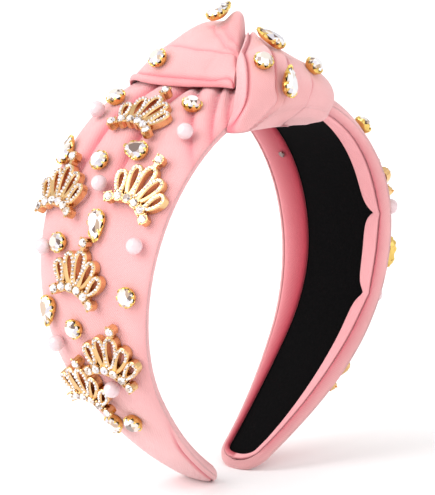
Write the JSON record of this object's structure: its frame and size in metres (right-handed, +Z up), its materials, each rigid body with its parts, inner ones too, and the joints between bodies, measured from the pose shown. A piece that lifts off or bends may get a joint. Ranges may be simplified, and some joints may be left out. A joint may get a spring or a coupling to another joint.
{
  "type": "knotted headband",
  "caption": "Padded pink top-knot headband with black velvet lining, trimmed with crystals, pearls and small gold crowns, standing on its two ends.",
  "frame": {"origin": "on the floor, midway between the two ends and midway across the band", "axes": "+X from the left end to the right end, +Y across the band away from the front edge, +Z up"},
  "size_m": [0.1481, 0.0816, 0.1773],
  "materials": {
    "pink_cloth": "soft matte satin",
    "pink_binding": "matte",
    "black_velvet": "matte velvet",
    "crystal": "faceted, in gold cups",
    "gold": "polished, set with small clear stones",
    "pearl": "pearlescent",
    "stud_metal": "polished"
  },
  "bodies": {
    "root": {"band_cover": "pink_cloth", "knot_far": "pink_cloth", "knot_near": "pink_cloth", "binding": "pink_binding", "lining": "black_velvet", "stud": "stud_metal", "crystal_1": "crystal", "crystal_2": "crystal", "crystal_3": "crystal", "crystal_4": "crystal", "crystal_5": "crystal", "crystal_6": "crystal", "crystal_7": "crystal", "drop_1": "crystal", "drop_2": "crystal", "drop_3": "crystal", "drop_4": "crystal", "drop_5": "crystal", "right_crystal_1": "crystal", "right_crystal_2": "crystal", "right_crystal_3": "crystal", "right_drop_1": "crystal", "right_drop_2": "crystal", "knot_crystal_1": "crystal", "knot_crystal_2": "crystal", "knot_crystal_3": "crystal", "knot_drop_1": "crystal", "knot_drop_2": "crystal", "knot_drop_3": "crystal", "crown_1": "gold", "crown_2": "gold", "crown_3": "gold", "crown_4": "gold", "crown_5": "gold", "crown_6": "gold", "right_crown_1": "gold", "right_crown_2": "gold", "right_crown_3": "gold", "right_crown_4": "gold", "pearl_1": "pearl", "pearl_2": "pearl", "pearl_3": "pearl", "pearl_4": "pearl", "pearl_5": "pearl", "pearl_6": "pearl", "pearl_7": "pearl", "right_pearl_1": "pearl", "right_pearl_2": "pearl", "right_pearl_3": "pearl"}
  },
  "joints": []
}
